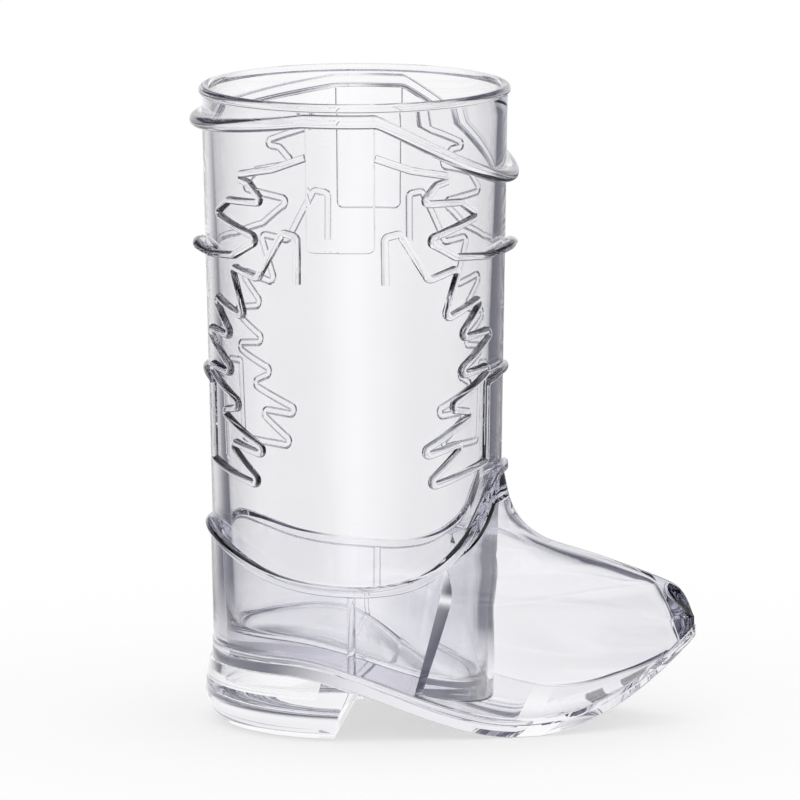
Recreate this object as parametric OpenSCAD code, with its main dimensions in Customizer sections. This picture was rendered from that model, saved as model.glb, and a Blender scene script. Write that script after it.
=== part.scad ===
// Cowboy boot drinking mug, in millimetres, +Z up, toe towards +X.
// The origin is under the middle of the part's box, on the table.
// The drinking cup is a tapered tumbler whose narrower spigot sits in the socket of the hollow foot.
// The foot and the cup both stand on the welt of the sole, and the heel hangs under the sole.

/* [Cup] */
// Height of the rim above the table
rim_height = 152; // [148:0.5:158]
// Outer radius of the cup at the top of its wall
cup_top_r = 36.3; // [35.5:0.1:38]
// Loss of outer radius for each millimetre down the wall
cup_draft = 0.02; // [0.012:0.001:0.024]
// Wall of the cup at the rim
cup_wall = 2; // [1.6:0.1:2.4]
// Loss of inner radius for each millimetre down the bore
bore_draft = 0.041; // [0.036:0.001:0.044]
// Wall of the spigot that goes down into the foot
spigot_wall = 2.1; // [1.6:0.1:2.4]
// Thickness of the cup's sloping floor
floor_t = 3; // [2:0.5:5]
// How far the drinking lip stands out from the wall
lip_out = 0.7; // [0.3:0.1:1.5]
// Height of the drinking lip
lip_h = 2.2; // [1.5:0.1:3.5]

/* [Collar and pull straps] */
// Depth of the collar ridge under the rim at the sides
collar_drop = 4.2; // [3.6:0.1:6]
// How far the collar ridge dips at the front of the shaft
collar_front_dip = 17; // [10:0.5:19]
// How far the collar ridge dips at the back of the shaft
collar_back_dip = 4; // [0:0.5:8]
// Width of the collar ridge up the wall
collar_w = 3.4; // [2.4:0.1:3.8]
// How far the collar ridge stands out
collar_h = 3; // [1:0.1:4]
// Width of a pull strap
strap_w = 16.7; // [12:0.1:17]
// Length of a pull strap under the collar
strap_len = 29.6; // [20:0.1:32]
// Thickness of a pull strap
strap_t = 0.9; // [0.5:0.1:2]
// Radius of a pull strap's lower corners
strap_corner_r = 1.8; // [0.5:0.1:4]

/* [Stitch ridges] */
// Depth under the rim of the fork of the flames; the stitching above it keeps its place under the collar
fork_drop = 43; // [40:0.5:46]
// Height of the lowest flame tip above the table
flame_tip_h = 60.5; // [58:0.5:70]
// Width of a stitch ridge
stitch_w = 1.9; // [1.4:0.1:2]
// Height of a stitch ridge
stitch_h = 1.3; // [0.8:0.1:2]
// Height of the yoke ridge where it rings the front and the back of the shaft
ring_h = 3; // [1.5:0.1:4]

/* [Foot] */
// Reach of the toe from the axis of the cup
toe_reach = 80.4; // [76:0.2:86]
// Height of the tip of the toe
toe_tip_h = 25; // [24.5:0.5:27]
// Reach of the bend between the instep and the vamp, from the axis of the cup
instep_reach = 45.2; // [44:0.2:49]
// Height of the bend between the instep and the vamp
instep_h = 43.2; // [42:0.2:46]
// Height at which the instep runs into the shaft
ankle_h = 60; // [57:0.5:64]
// How far the foot stands out from the shaft above it
foot_out = 0.5; // [0.2:0.1:1]
// Wall of the hollow toe
toe_wall = 2.4; // [1.6:0.1:3.2]
// Wall between the cup's socket and the toe's hollow
socket_wall = 1.4; // [1:0.1:2.4]
// Solid length in the tip of the toe
toe_solid = 4; // [3:0.5:8]
// Distance in front of the axis of the cup at which the toe's hollow begins, at the table
hollow_start = 13.2; // [11:0.2:17]
// Forward lean of the hollow's back end for each millimetre up
hollow_lean = 0.25; // [0:0.05:0.4]
// Play between the spigot of the cup and the socket of the foot
socket_play = 0.15; // [0.1:0.05:0.3]

/* [Ankle band and side seams] */
// Height of the scallop at the back of the shaft
scallop_back_h = 48.5; // [46:0.5:52]
// Height of the scallop at the sides
scallop_side_h = 37.1; // [34:0.1:40]
// Height of the scallop at the front of the shaft
scallop_front_h = 62; // [58:0.5:63]
// Width of the ankle band
band_w = 2.4; // [1.6:0.1:3]
// How far the ankle band stands out
band_h = 1.2; // [0.6:0.1:2]
// Width of a side seam
seam_w = 2; // [1:0.1:4]
// Distance of the side seams in front of the axis of the cup
seam_front = 2; // [-6:0.5:6]
// How far a side seam stands out
seam_h = 0.9; // [0.5:0.1:1.5]

/* [Sole and heel] */
// Height of the welt's top under the heel of the cup
heel_seat_h = 19.5; // [18:0.5:22]
// Thickness of the welt
welt_t = 1.5; // [1:0.1:2]
// Thickness of the outsole under the welt
outsole_t = 2.9; // [2.2:0.1:3.5]
// Thickness of the outsole at the tip of the toe
outsole_tip_t = 1.4; // [1:0.1:2.2]
// How far the welt stands out from the foot
welt_out = 0.3; // [0.1:0.1:1]
// Distance behind the axis of the cup at which the arch begins to fall
arch_back = 14.5; // [10:0.5:18]
// Reach of the ball of the foot, where the sole rests on the table
ball_reach = 42; // [38:0.5:46]
// Height of the welt's top at the tip of the toe
toe_spring = 23; // [20:0.5:24]
// Power of the curve that turns up the toe; a larger one keeps the ball flat for longer
toe_curl = 2.1; // [1.8:0.1:2.6]
// How far the ball would sink under the table if its tread were not flat
tread_cut = 0.15; // [0.1:0.05:0.3]
// How far the heel swells past the welt
heel_swell = 1.6; // [0:0.1:3]
// Radius of the heel where it meets the table
heel_base_r = 30; // [27:0.5:32]
// Height at which the heel is widest
heel_wide_h = 8; // [5:0.5:10]
// Distance of the heel breast behind the axis of the cup, at the table
breast_back = 2.6; // [0:0.1:8]
// Forward lean of the heel breast for each millimetre up
breast_lean = 0.25; // [0.1:0.05:0.6]
// Radius of the round bend from the heel breast into the arch
breast_bend = 6; // [3:0.5:8]
// Wall of the hollow heel round its back and sides
heel_wall = 3.2; // [2:0.1:5]
// Wall of the hollow heel at its breast
breast_wall = 6; // [3:0.1:8]
// Floor of the hollow heel above its lift
heel_floor = 7.8; // [5:0.1:8.5]
// Thickness of the heel lift
lift_t = 1.4; // [1:0.1:2]

/* [Hidden] */
$fn = 96;
clear = [0.86, 0.88, 0.92];
clear_dark = [0.70, 0.73, 0.80];
clear_pale = [0.94, 0.95, 0.98];
far_up = 2 * rim_height;
half_deep = 2 * cup_top_r;
sink = 0.4;
seat = 0.03;
strap_gap = 0.3;
bend_r = 1.1;
bend_keep = 0.8;
crown = 0.72;
ring_half = 30;
ring_blend = 22;
nose_lean = 0.4;
nose_skin = 1;
band_inset = 0.12;
scallop_rise = 2.5;
sole_step = 2.5;
bite = 0.05;

// Radii of the cup and of the foot at a height
function cup_r(z) = cup_top_r - cup_draft * (rim_height - z);
function bore_r(z) = cup_top_r - cup_wall - bore_draft * (rim_height - z);
function foot_r(z) = cup_r(z) + foot_out;

// The box's middle lies halfway from the collar at the back to the toe
collar_back_z = rim_height - collar_drop - collar_back_dip;
back_reach = cup_r(collar_back_z) + collar_h;
box_middle = (toe_reach + welt_out - back_reach) / 2;

// Smooth step from 0 to 1, and a smooth curve through the knots [position, value]
function ease(t) = let(u = min(max(t, 0), 1)) u * u * (3 - 2 * u);
function slope(k, i) =
    let(a = max(i - 1, 0), b = min(i + 1, len(k) - 1)) (k[b][1] - k[a][1]) / (k[b][0] - k[a][0]);
function knot_before(k, x, i = 0) = i >= len(k) - 2 || x < k[i + 1][0] ? i : knot_before(k, x, i + 1);
function through(k, x) =
    let(
        i = knot_before(k, x),
        span = k[i + 1][0] - k[i][0],
        t = min(max((x - k[i][0]) / span, 0), 1),
        s = t * t * (3 - 2 * t)
    )
    k[i][1] * (1 - s) + k[i + 1][1] * s
    + span * (slope(k, i) * (t * t * t - 2 * t * t + t) + slope(k, i + 1) * (t * t * t - t * t));

// Side profile of the sole: heel seat, arch, ball and turned-up toe
sole_t = welt_t + outsole_t;
ball_top = sole_t - tread_cut;
function welt_top(x) =
    x < ball_reach
    ? heel_seat_h + (ball_top - heel_seat_h) * ease((x + arch_back) / (ball_reach + arch_back))
    : ball_top + (toe_spring - ball_top) * pow((x - ball_reach) / (toe_reach - ball_reach), toe_curl);
function outsole_top(x) = welt_top(x) - welt_t;
function outsole_under(x) =
    outsole_top(x) - outsole_t
    + (outsole_t - outsole_tip_t) * ease((x - ball_reach) / (toe_reach - ball_reach));

sole_xs = [for (x = -half_deep; x < toe_reach + 2 * sole_step; x = x + sole_step) x];
function welt_line(lift) = [for (x = sole_xs) [x, welt_top(x) + lift]];
function over(line, top) = concat(line, [[line[len(line) - 1][0], top], [line[0][0], top]]);

// A side profile drawn in X and Z, run right across the part
module across(outline) rotate([90, 0, 0]) linear_extrude(2 * half_deep, center = true) polygon(outline);

// Plan of the foot at a reach and a breadth: a half circle behind, a long pointed toe in front.
// At the sole the toe is full; higher up a round nose draws back over the vamp until the shaft is left.
toe_swell = 1.7;
toe_taper = 0.75;
nose_swell = 1.3;
nose_gain = 0.7;
function plan_half(x, reach, r) =
    let(
        k = max(reach - r, 0) / (toe_reach - r),
        sole_reach = max(reach, toe_reach),
        full = r * pow(max(1 - pow(x / sole_reach, toe_swell), 0), toe_taper),
        nose = k < 1 ? sqrt(max(1 - pow(x / reach, nose_swell / pow(1 - k, nose_gain)), 0)) : 1,
        shaft = sqrt(max(r * r - x * x, 0))
    )
    max(full * nose, shaft);
plan_steps = 18;
function plan_ring(reach, r) =
    let(
        front = [for (i = [0 : plan_steps])
            let(x = reach * sin(90 * i / plan_steps)) [x, plan_half(x, reach, r)]],
        back = [for (i = [1 : plan_steps - 1]) let(a = 180 * i / plan_steps) [-r * sin(a), -r * cos(a)]]
    )
    concat(
        [for (i = [plan_steps : -1 : 0]) [front[i][0], front[i][1]]],
        [for (i = [plan_steps - 1 : -1 : 1]) back[i - 1]],
        [for (i = [0 : plan_steps - 1]) [front[i][0], -front[i][1]]]
    );

// Reach of the foot at a height, from the tip of the toe up the vamp and the instep to the shaft
shaft_reach = foot_r(ankle_h);
reach_knots = [
    [toe_tip_h, toe_reach],
    [toe_tip_h + 0.32 * (instep_h - toe_tip_h), instep_reach + 0.925 * (toe_reach - instep_reach)],
    [toe_tip_h + 0.47 * (instep_h - toe_tip_h), instep_reach + 0.825 * (toe_reach - instep_reach)],
    [toe_tip_h + 0.76 * (instep_h - toe_tip_h), instep_reach + 0.405 * (toe_reach - instep_reach)],
    [instep_h, instep_reach],
    [instep_h + 0.38 * (ankle_h - instep_h), shaft_reach + 0.3 * (instep_reach - shaft_reach)],
    [ankle_h, shaft_reach]
];
function foot_reach(z) =
    z <= toe_tip_h ? toe_reach : z >= ankle_h ? foot_r(z) : through(reach_knots, z);

// A closed skin through rings of equal length
module skin(rings) {
    n = len(rings[0]);
    last = len(rings) - 1;
    polyhedron(
        [for (ring = rings) each ring],
        concat(
            [[for (i = [0 : n - 1]) i]],
            [for (k = [0 : last - 1]) for (i = [0 : n - 1]) let(j = (i + 1) % n)
                each [
                    [k * n + i, (k + 1) * n + j, k * n + j],
                    [k * n + i, (k + 1) * n + i, (k + 1) * n + j]
                ]],
            [[for (i = [n - 1 : -1 : 0]) last * n + i]]
        )
    );
}

foot_levels = concat(
    [0, 0.5 * toe_tip_h, 0.85 * toe_tip_h],
    [for (i = [0 : 15]) toe_tip_h + (instep_h - toe_tip_h) * i / 15],
    [for (i = [1 : 8]) instep_h + (ankle_h - instep_h) * i / 8],
    [ankle_h + cup_top_r]
);

module foot_form()
    skin([for (z = foot_levels) [for (p = plan_ring(foot_reach(z), foot_r(z))) [p[0], p[1], z]]]);

// Scalloped top edge of the foot, as a height for each place along X
scallop_knots = [
    [-1.2 * cup_top_r, scallop_back_h + scallop_rise],
    [-0.95 * cup_top_r, scallop_back_h],
    [-0.77 * cup_top_r, scallop_side_h + 0.67 * (scallop_back_h - scallop_side_h)],
    [-0.53 * cup_top_r, scallop_side_h + 0.29 * (scallop_back_h - scallop_side_h)],
    [-0.27 * cup_top_r, scallop_side_h + 0.08 * (scallop_back_h - scallop_side_h)],
    [0, scallop_side_h],
    [0.22 * cup_top_r, scallop_side_h],
    [0.45 * cup_top_r, scallop_side_h + 0.06 * (scallop_front_h - scallop_side_h)],
    [0.63 * cup_top_r, scallop_side_h + 0.2 * (scallop_front_h - scallop_side_h)],
    [0.77 * cup_top_r, scallop_side_h + 0.42 * (scallop_front_h - scallop_side_h)],
    [0.86 * cup_top_r, scallop_side_h + 0.7 * (scallop_front_h - scallop_side_h)],
    [0.95 * cup_top_r, scallop_front_h],
    [1.2 * cup_top_r, scallop_front_h + scallop_rise]
];
function scallop(x) = through(scallop_knots, x);
scallop_ends = 1.2 * cup_top_r;
scallop_steps = 60;
scallop_line = [
    for (i = [0 : scallop_steps]) let(x = scallop_ends * (2 * i / scallop_steps - 1)) [x, scallop(x)]
];

module under_scallop()
    across(concat(
        scallop_line,
        [[toe_reach + far_up, scallop(scallop_ends)], [toe_reach + far_up, -far_up], [-scallop_ends, -far_up]]
    ));

module over_welt(lift = 0) across(over(welt_line(lift), far_up));

// Solids of revolution about the axis of the cup
module turned(outline) rotate_extrude() polygon(outline);

module cup_form()
    turned([
        [0, 0],
        [cup_r(0), 0],
        [cup_r(rim_height - lip_h), rim_height - lip_h],
        [cup_top_r + lip_out, rim_height - 0.7 * lip_h],
        [cup_top_r + lip_out, rim_height - 0.3 * lip_h],
        [cup_top_r + lip_out - 0.25 * lip_h, rim_height],
        [0, rim_height]
    ]);

module bore_form(out = 0)
    turned([[0, 0], [bore_r(0) + out, 0], [bore_r(far_up) + out, far_up], [0, far_up]]);

module cup() color(clear)
    difference() {
        intersection() {
            cup_form();
            over_welt();
        }
        intersection() {
            bore_form();
            over_welt(floor_t);
        }
        difference() {
            under_scallop();
            bore_form(spigot_wall);
        }
    }

// Ridges on the wall of the cup follow a route of [angle from the -Y side, height] points
function wall_point(angle, z, out) =
    [(cup_r(z) + out) * sin(angle), -(cup_r(z) + out) * cos(angle), z];
function deg_mm(z) = cup_r(z) * PI / 180;

// Rounds the corners of a flat route; each corner is pushed out so that its bend still reaches the tip
function unit(v) = v / norm(v);
function turn_of(a, b, c) = acos(min(max(unit(b - a) * unit(c - b), -1), 1));
function corner(a, b, c) =
    let(turn = turn_of(a, b, c))
    turn < 12 ? [b] :
    let(
        half = turn / 2,
        inward = unit(unit(a - b) + unit(c - b)),
        tip = b - inward * bend_keep * bend_r * (1 / cos(half) - 1),
        along = min(bend_r * tan(half), 0.48 * norm(tip - a), 0.48 * norm(c - tip)),
        r = along / tan(half),
        middle = tip + inward * r / cos(half),
        start = tip + unit(a - tip) * along - middle,
        side = unit(a - b)[0] * unit(c - b)[1] - unit(a - b)[1] * unit(c - b)[0] > 0 ? 1 : -1,
        steps = max(2, ceil(turn / 45))
    )
    [for (i = [0 : steps]) let(t = -side * turn * i / steps)
        middle + [start[0] * cos(t) - start[1] * sin(t), start[0] * sin(t) + start[1] * cos(t)]];
function rounded(p) =
    concat([p[0]], [for (i = [1 : len(p) - 2]) each corner(p[i - 1], p[i], p[i + 1])], [p[len(p) - 1]]);
function fine(p, step) =
    concat(
        [for (i = [0 : len(p) - 2]) let(n = max(1, ceil(abs(p[i + 1][0] - p[i][0]) / step)))
            each [for (j = [0 : n - 1]) p[i] + (p[i + 1] - p[i]) * j / n]],
        [p[len(p) - 1]]
    );

// A ridge of given width along a flat route of [millimetres round the wall, height]
wall_mm = deg_mm(rim_height - fork_drop);
module ridge(route, width, heights) {
    n = len(route);
    skin([for (i = [0 : n - 1])
        let(
            d = unit(route[min(i + 1, n - 1)] - route[max(i - 1, 0)]),
            s = [-d[1], d[0]] * width / 2,
            h = heights[i],
            section = [[1, seat], [crown, h], [-crown, h], [-1, seat]]
        )
        [for (q = section) let(p = route[i] + s * q[0]) wall_point(p[0] / wall_mm, p[1], q[1])]
    ]);
}

// Routes of the stitching, a quarter of the way round: [degrees from the strap, place down the shaft].
// A place runs from 0 at the rim to 1 at the fork, and on to 2 at the lowest flame tip.
yoke_quarter = [
    [14.5, 0.307], [27, 0.375], [42.8, 0.432], [37.4, 0.468], [32.4, 0.558], [49.6, 0.575], [57.4, 0.658],
    [35, 0.77], [47, 0.875], [65, 0.896], [90, 0.875]
];
flame_quarter = [
    [17.1, 1], [17.1, 0.743], [22.5, 0.723], [34.6, 0.983], [47.6, 0.947], [42.6, 1.179], [60.7, 1.117],
    [50.7, 1.283], [68.2, 1.287], [49.9, 1.464], [67.6, 1.464], [45.8, 1.626], [55.5, 1.672], [32.2, 1.845],
    [50.4, 1.821], [35.5, 2], [66.2, 1.919], [66.8, 1.542], [79, 1.509], [90, 1.506]
];
fork_h = rim_height - fork_drop;
function place_h(s) = s < 1 ? rim_height - s * fork_drop : fork_h - (s - 1) * (fork_h - flame_tip_h);
function flat(quarter) = [for (p = quarter) [p[0] * wall_mm, place_h(p[1])]];
function mirrored(route) =
    concat(route, [for (i = [len(route) - 2 : -1 : 0]) [180 * wall_mm - route[i][0], route[i][1]]]);
function stitch_route(quarter) = mirrored(fine(rounded(flat(quarter)), 5 * wall_mm));

module stitch(quarter, side, ring) {
    route = stitch_route(quarter);
    rise = [for (p = route) ease((ring_half - abs(90 - p[0] / wall_mm)) / ring_blend)];
    color(clear_dark)
        mirror([side < 0 ? 1 : 0, 0, 0])
            ridge(route, stitch_w, [for (r = rise) stitch_h + (ring - stitch_h) * r]);
}

module yoke_stitch_front() stitch(yoke_quarter, 1, ring_h);
module yoke_stitch_back() stitch(yoke_quarter, -1, ring_h);
module flame_stitch_front() stitch(flame_quarter, 1, stitch_h);
module flame_stitch_back() stitch(flame_quarter, -1, stitch_h);

// Height of the collar ridge round the shaft: level over the straps, dipping to the front and the back
strap_angle = strap_w / 2 / deg_mm(rim_height);
function collar_z(angle) =
    let(lean = sin(angle), past = max(abs(lean) - sin(strap_angle), 0) / (1 - sin(strap_angle)))
    rim_height - collar_drop - (lean > 0 ? collar_front_dip * pow(past, 1.1) : collar_back_dip * past);
collar_steps = 72;

module collar() color(clear_dark)
    difference() {
        skin_ring([for (i = [0 : collar_steps - 1])
            let(a = 360 * i / collar_steps, z = collar_z(a))
            [for (q = [[-1, -sink], [-0.9, 0.45], [-0.45, 1], [0.45, 1], [0.9, 0.45], [1, -sink]])
                wall_point(a, z + q[0] * collar_w / 2, q[1] < 0 ? q[1] : q[1] * collar_h)]
        ]);
        cup_form();
    }

// A closed loop of sections
module skin_ring(rings) {
    n = len(rings[0]);
    m = len(rings);
    polyhedron(
        [for (ring = rings) each ring],
        [for (k = [0 : m - 1]) for (i = [0 : n - 1])
            let(j = (i + 1) % n, l = (k + 1) % m)
            each [[k * n + i, k * n + j, l * n + j], [k * n + i, l * n + j, l * n + i]]]
    );
}

// Pull straps lie on the wall just under the collar
strap_top = rim_height - collar_drop - collar_w / 2 - strap_gap;
module strap_outline() {
    low = strap_top - strap_len;
    half = strap_w / 2;
    translate([-half, low + strap_corner_r]) square([strap_w, strap_len - strap_corner_r]);
    translate([-half + strap_corner_r, low]) square([strap_w - 2 * strap_corner_r, strap_len]);
    for (side = [-1, 1])
        translate([side * (half - strap_corner_r), low + strap_corner_r]) circle(strap_corner_r);
}

module pull_strap(side) color(clear_pale)
    difference() {
        intersection() {
            turned([
                [0, 0],
                [cup_r(0) + strap_t, 0],
                [cup_r(rim_height) + strap_t, rim_height],
                [0, rim_height]
            ]);
            rotate([90, 0, side > 0 ? 0 : 180]) linear_extrude(half_deep) strap_outline();
        }
        cup_form();
    }

module pull_strap_near() pull_strap(1);
module pull_strap_far() pull_strap(-1);

// Foot: counter and vamp in one hollow shell round the spigot of the cup
module socket_form(out = 0) bore_form(spigot_wall + socket_play + out);

chamber_levels = concat(
    [0, 0.5 * toe_tip_h],
    [for (i = [0 : 11]) toe_tip_h - toe_wall + (instep_h - toe_tip_h + 2 * toe_wall) * i / 11]
);
module toe_chamber()
    difference() {
        skin([for (z = chamber_levels)
            let(
                nose = toe_reach - toe_solid - nose_lean * max(z - 0.7 * toe_tip_h, 0),
                reach = min(foot_reach(z + toe_wall) - nose_skin, nose)
            )
            [for (p = plan_ring(reach, foot_r(z) - toe_wall)) [p[0], p[1], z]]
        ]);
        socket_form(socket_wall);
        hollow_end();
        mirror([0, 1, 0]) hollow_end();
    }

// Back end of the hollow on one side: a face at 45 degrees in plan, which leans forward
function slant_at(z) =
    let(
        x = hollow_start + hollow_lean * z,
        r = bore_r(z) + spigot_wall + socket_play + socket_wall
    )
    x - sqrt(r * r - x * x);
slant_lean = (slant_at(instep_h) - slant_at(0)) / instep_h;
module hollow_end()
    skin([for (z = [-sink, ankle_h])
        let(x = slant_at(0) + slant_lean * z)
        [[-half_deep, 0, z], [x, 0, z], [x + half_deep, half_deep, z], [-half_deep, half_deep, z]]
    ]);

module foot_block()
    intersection() {
        foot_form();
        under_scallop();
        over_welt();
    }

module foot_shell() color(clear)
    difference() {
        foot_block();
        socket_form();
        toe_chamber();
    }

// Ridges on the foot follow its skin; a point of the skin is found from its place along X and its height
function foot_half(x, z) =
    x > 0 ? plan_half(x, foot_reach(z), foot_r(z)) : sqrt(max(pow(foot_r(z), 2) - x * x, 0));

// Ankle band: runs round the foot under its scalloped edge
band_steps = 36;
band_drop = band_w / 2 + band_inset;
function band_angle(i) = 180 * i / band_steps;
function band_x(i) = -foot_r(scallop_side_h) * cos(band_angle(i));
band_front_z = scallop_front_h - band_drop;
band_back_z = scallop_back_h - band_drop;
function band_point(i) =
    i == 0 ? [-foot_r(band_back_z), 0, band_back_z]
    : i == band_steps ? [foot_reach(band_front_z), 0, band_front_z]
    : let(x = band_x(i), z = scallop(x) - band_drop) [x, -foot_half(x, z), z];
function flipped(p) = [p[0], -p[1], p[2]];
band_route = concat(
    [for (i = [0 : band_steps]) band_point(i)],
    [for (i = [band_steps - 1 : -1 : 1]) flipped(band_point(i))]
);

module ankle_band() color(clear_dark)
    difference() {
        skin_ring([for (i = [0 : len(band_route) - 1])
            let(
                n = len(band_route),
                p = band_route[i],
                d = unit(band_route[(i + 1) % n] - band_route[(i + n - 1) % n]),
                out = unit([p[0] > 0 ? p[0] * pow(cup_top_r / instep_reach, 2) : p[0], p[1], 0]),
                level = unit(out - d * (out * d)),
                s = cross(level, d)
            )
            [for (q = [[-1, -sink], [-crown, band_h], [crown, band_h], [1, -sink]])
                p + s * q[0] * band_w / 2 + level * q[1]]
        ]);
        foot_form();
    }

// Side seams: a rib down each side of the foot from the ankle band to the welt
seam_top = scallop_side_h - band_drop - band_w;
module side_seam(side) color(clear_pale)
    difference() {
        intersection() {
            turned([
                [0, 0],
                [foot_r(0) + seam_h, 0],
                [foot_r(rim_height) + seam_h, rim_height],
                [0, rim_height]
            ]);
            translate([seam_front - seam_w / 2, side > 0 ? -half_deep : 0, 0])
                cube([seam_w, half_deep, rim_height]);
            over_welt();
            across([
                [-half_deep, -far_up],
                [half_deep, -far_up],
                [half_deep, seam_top],
                [-half_deep, seam_top]
            ]);
        }
        turned([[0, 0], [foot_r(0), 0], [foot_r(rim_height), rim_height], [0, rim_height]]);
    }

module side_seam_near() side_seam(1);
module side_seam_far() side_seam(-1);

// Sole: a welt that carries the foot and the cup, and an outsole under it
sole_r = foot_r(heel_seat_h) + welt_out;
module sole_plan() linear_extrude(far_up) polygon(plan_ring(toe_reach + welt_out, sole_r));

module sole_layer(upper, lower)
    intersection() {
        sole_plan();
        across(concat(upper, [for (i = [len(lower) - 1 : -1 : 0]) lower[i]]));
    }

welt_under = [for (x = sole_xs) [x, outsole_top(x)]];
tread = [for (x = sole_xs) [x, outsole_under(x)]];

module welt() color(clear_pale) sole_layer(welt_line(0), welt_under);
module outsole() color(clear) sole_layer(welt_under, tread);

// Heel: a hollow block of revolution, cut off at the breast and closed below by its lift
heel_wide_r = sole_r + heel_swell;
function heel_r(z) =
    z < heel_wide_h
    ? heel_base_r + (heel_wide_r - heel_base_r) * sqrt(1 - pow(1 - z / heel_wide_h, 2))
    : heel_wide_r - heel_swell * ease((z - heel_wide_h) / (heel_seat_h - heel_wide_h));
heel_steps = 12;
function heel_outline(low, inset) =
    concat(
        [[0, low]],
        [for (i = [0 : heel_steps])
            let(z = low + (heel_seat_h - low) * i / heel_steps) [heel_r(z) - inset, z]],
        [[0, heel_seat_h]]
    );

// Everything behind the breast and under the outsole, or between two levels
module behind_breast(inset = 0)
    across([
        [-2 * half_deep, 0],
        [-breast_back - inset, 0],
        [-breast_back - inset + breast_lean * heel_seat_h, heel_seat_h],
        [-2 * half_deep, heel_seat_h]
    ]);
module under_outsole() across(over(tread, -far_up));

// Round bend from the breast into the arch: a cylinder that touches the breast and the outsole's underside
breast_slant = norm([1, breast_lean]);
function bend_x(z) = -breast_back + breast_lean * z + (breast_bend - bite) * breast_slant;
function bend_away(x, z) = norm([bend_x(z) - x, z - outsole_under(x)]);
arch_xs = [for (x = -breast_back; x < ball_reach; x = x + 0.2) x];
function bend_room(z) = min([for (x = arch_xs) bend_away(x, z)]);
function bend_height(low, high, tries) =
    let(z = (low + high) / 2)
    tries == 0 ? z
    : bend_room(z) > breast_bend - bite ? bend_height(z, high, tries - 1)
    : bend_height(low, z, tries - 1);
bend_z = bend_height(-breast_bend, heel_seat_h, 20);
bend_front = [for (x = arch_xs) if (bend_away(x, bend_z) <= bend_room(bend_z)) x][0];
bend_foot = bend_z + breast_bend * breast_lean / breast_slant;

module bend_web()
    across([
        [-breast_back - breast_wall, bend_foot],
        [bend_front, bend_foot],
        [bend_front, heel_seat_h],
        [-breast_back - breast_wall, heel_seat_h]
    ]);

module heel() color(clear)
    difference() {
        intersection() {
            turned(heel_outline(lift_t, 0));
            union() {
                behind_breast();
                bend_web();
            }
            under_outsole();
        }
        intersection() {
            turned(heel_outline(lift_t + heel_floor, heel_wall));
            behind_breast(breast_wall);
        }
        translate([bend_x(bend_z), 0, bend_z])
            rotate([90, 0, 0])
                cylinder(r = breast_bend, h = 2 * half_deep + 2, center = true);
    }

module heel_lift() color(clear_dark)
    intersection() {
        turned([[0, 0], [heel_base_r, 0], [heel_r(lift_t), lift_t], [0, lift_t]]);
        behind_breast();
    }

translate([-box_middle, 0, 0]) {
    cup();
    collar();
    pull_strap_near();
    pull_strap_far();
    yoke_stitch_front();
    yoke_stitch_back();
    flame_stitch_front();
    flame_stitch_back();
    foot_shell();
    ankle_band();
    side_seam_near();
    side_seam_far();
    welt();
    outsole();
    heel();
    heel_lift();
}
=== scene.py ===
"""Clear boot-shaped drinking mug: cup, foot, sole and heel as moulded clear plastic, on a white studio floor.

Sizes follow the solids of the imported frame. Meshes are drawn in millimetres about the axis of the cup,
with the toe towards +X, and are put into the frame, in metres, as the last step.
"""

import math

import bmesh
import bpy
import numpy as np
from mathutils import Matrix, Vector


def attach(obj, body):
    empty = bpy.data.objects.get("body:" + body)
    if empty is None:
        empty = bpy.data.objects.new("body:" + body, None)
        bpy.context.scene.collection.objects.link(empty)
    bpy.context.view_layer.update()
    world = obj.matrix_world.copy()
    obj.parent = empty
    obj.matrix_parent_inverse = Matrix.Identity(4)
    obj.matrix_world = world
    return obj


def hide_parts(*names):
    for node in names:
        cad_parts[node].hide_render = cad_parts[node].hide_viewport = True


bl_info = {
    "name": "Boot mug",
    "version": (1, 0, 0),
    "blender": (4, 5, 0),
    "location": "View3D > Sidebar > Boot mug",
    "description": "Builds a clear boot-shaped drinking mug from its sizes",
    "category": "Object",
}

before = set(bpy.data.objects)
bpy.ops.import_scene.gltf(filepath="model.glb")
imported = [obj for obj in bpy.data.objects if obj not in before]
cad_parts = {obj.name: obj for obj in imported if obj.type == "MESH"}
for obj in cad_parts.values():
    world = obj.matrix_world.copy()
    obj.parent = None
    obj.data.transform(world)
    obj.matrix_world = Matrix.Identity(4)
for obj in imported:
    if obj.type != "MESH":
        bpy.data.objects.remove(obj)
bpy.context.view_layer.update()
MM = 0.001

# Routes of the stitching, a quarter of the way round: degrees from the strap, and place down the shaft,
# from 0 at the rim to 1 at the fork of the flames and 2 at the lowest flame tip
YOKE_QUARTER = [
    (13, 0.299), (27, 0.375), (42.8, 0.432), (37.4, 0.468), (32.4, 0.558), (49.6, 0.575), (57.4, 0.658),
    (35, 0.77), (47, 0.875), (65, 0.896), (90, 0.875),
]
FLAME_QUARTER = [
    (17.1, 1), (17.1, 0.743), (22.5, 0.723), (34.6, 0.983), (47.6, 0.947), (42.6, 1.179), (60.7, 1.117),
    (50.7, 1.283), (68.2, 1.287), (49.9, 1.464), (67.6, 1.464), (45.8, 1.626), (55.5, 1.672), (32.2, 1.845),
    (50.4, 1.821), (35.5, 2), (66.2, 1.919), (66.8, 1.542), (79, 1.509), (90, 1.506),
]

# Mesh detail, and millimetres: ridges sink into walls, pieces keep an air gap, cutters reach past the mug
TURN_STEPS, SOCKET_STEPS, PLAN_STEPS = 288, 224, 56
SINK, AIR_GAP, CUT_DEEP = 0.5, 0.05, 90.0
SHARP_ANGLE = math.radians(33)

# Moulding marks: scale and detail of the ripple and the haze, depth in metres, haze that shows, and its gloss
RIPPLE, HAZE, RIPPLE_DEEP = (60.0, 1.0), (900.0, 3.0), 0.0005
HAZE_RANGE, ROUGHNESS = (0.55, 0.8), (0.004, 0.03)

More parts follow.
